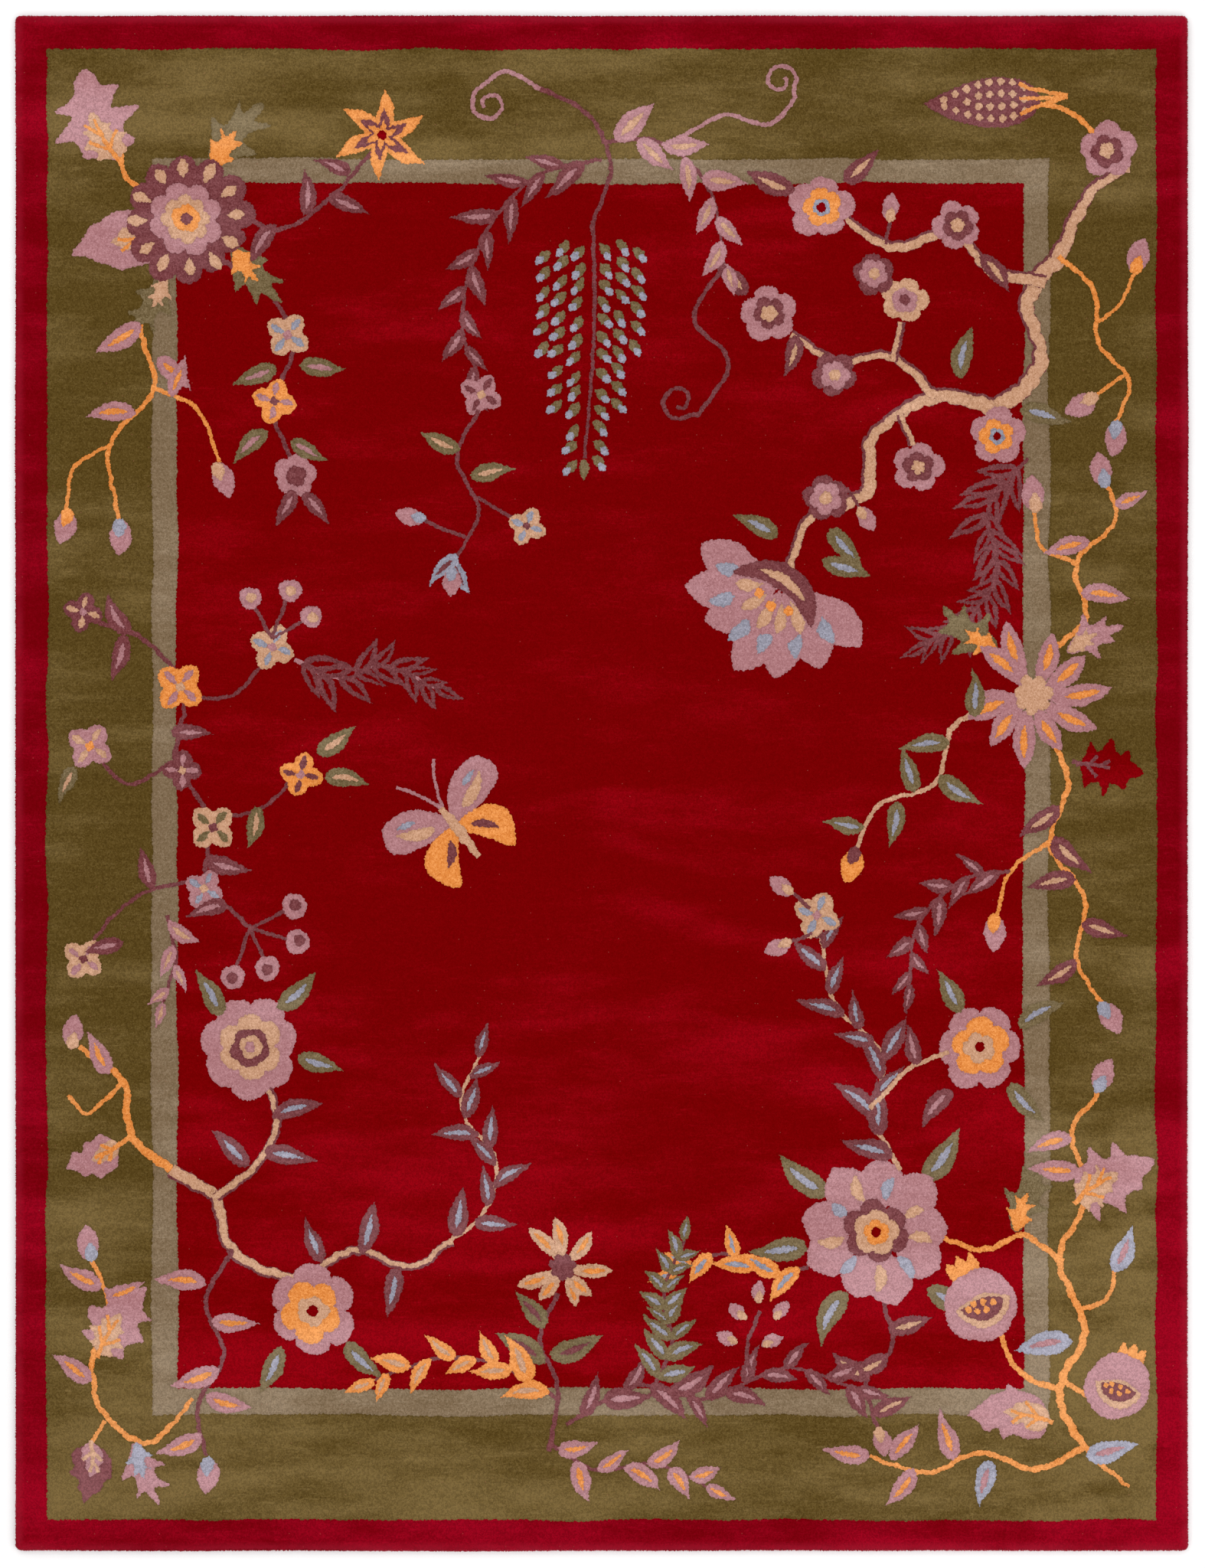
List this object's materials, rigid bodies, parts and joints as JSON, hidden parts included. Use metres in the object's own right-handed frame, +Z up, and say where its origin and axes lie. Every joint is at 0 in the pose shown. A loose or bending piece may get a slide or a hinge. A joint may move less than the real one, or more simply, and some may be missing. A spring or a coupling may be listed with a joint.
{
  "type": "tufted area rug",
  "caption": "Large rectangular tufted area rug with a cut wool pile and plain border bands, lying flat on a floor to cover it and soften the step.",
  "frame": {"origin": "middle of the rug's underside, on the floor", "axes": "+X across the rug to the right of the picture, +Y along the rug to its top, +Z up out of the pile"},
  "size_m": [2.67, 3.495, 0.0154],
  "materials": {
    "field_pile": "cut wool pile, deep red, matt with a soft sheen",
    "border_pile": "cut wool pile, crimson, matt with a soft sheen",
    "olive_pile": "cut wool pile, olive brown, matt",
    "taupe_pile": "cut wool pile, taupe, matt",
    "mauve_pile": "cut wool pile, mauve, matt",
    "plum_pile": "cut wool pile, plum, matt",
    "cream_pile": "cut wool pile, cream, matt",
    "orange_pile": "cut wool pile, orange, matt",
    "sage_pile": "cut wool pile, sage green, matt",
    "blue_pile": "cut wool pile, pale blue, matt",
    "backing_cloth": "plain woven cotton cloth, natural"
  },
  "bodies": {
    "root": {"tufted_rug": "field_pile"}
  },
  "joints": []
}
